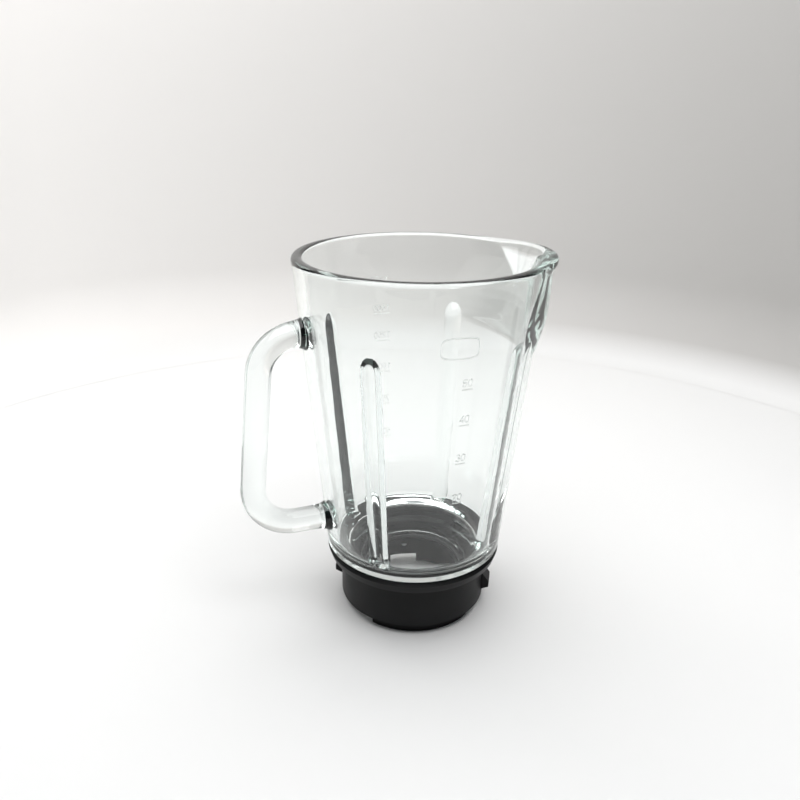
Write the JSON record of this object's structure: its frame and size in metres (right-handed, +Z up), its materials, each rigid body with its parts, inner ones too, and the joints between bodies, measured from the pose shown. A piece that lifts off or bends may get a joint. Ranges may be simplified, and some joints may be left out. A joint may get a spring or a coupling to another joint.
{
  "type": "blender jug",
  "caption": "Clear glass blender jug with a pouring spout, loop handle and inner ribs, on a black screw-on collar with bayonet lugs, an open blade port and a turning lock ring.",
  "frame": {"origin": "centre of the jug's upright axis, in the plane of the feet that it stands on", "axes": "+Z up along the jug and collar axis, +X towards the spout, -X towards the handle"},
  "size_m": [0.2047, 0.1548, 0.2435],
  "materials": {
    "clear_glass": "clear pressed soda-lime glass, fire-polished, faint green in the thick edges",
    "black_plastic": "satin black moulded plastic with a fine even texture",
    "ring_plastic": "matt black glass-filled nylon",
    "seal_silicone": "dark grey silicone rubber",
    "screw_steel": "plain stainless steel"
  },
  "bodies": {
    "collar": {"base_collar": "black_plastic", "port_seal": "seal_silicone", "ring_screws": "screw_steel"},
    "seal": {"jug_seal": "seal_silicone"},
    "jug": {"glass_jug": "clear_glass", "glass_handle": "clear_glass"},
    "lock": {"lock_ring": "ring_plastic"}
  },
  "joints": [
    {"name": "jug_rise", "type": "slide", "parent": "collar", "child": "seal", "axis": [0, 0, 1], "range_m": [0, 0.0081]},
    {"name": "jug_unscrew", "type": "hinge", "parent": "seal", "child": "jug", "pos_m": [0, 0, 0.037], "axis": [0, 0, 1], "range_deg": [0, 360]},
    {"name": "lock_turn", "type": "hinge", "parent": "collar", "child": "lock", "pos_m": [0, 0, 0.015], "axis": [0, 0, 1], "range_deg": [0, 30]}
  ],
  "couplings": [
    {"joint": "jug_rise", "follows": "jug_unscrew", "m_per_rad": 0.0012732}
  ]
}
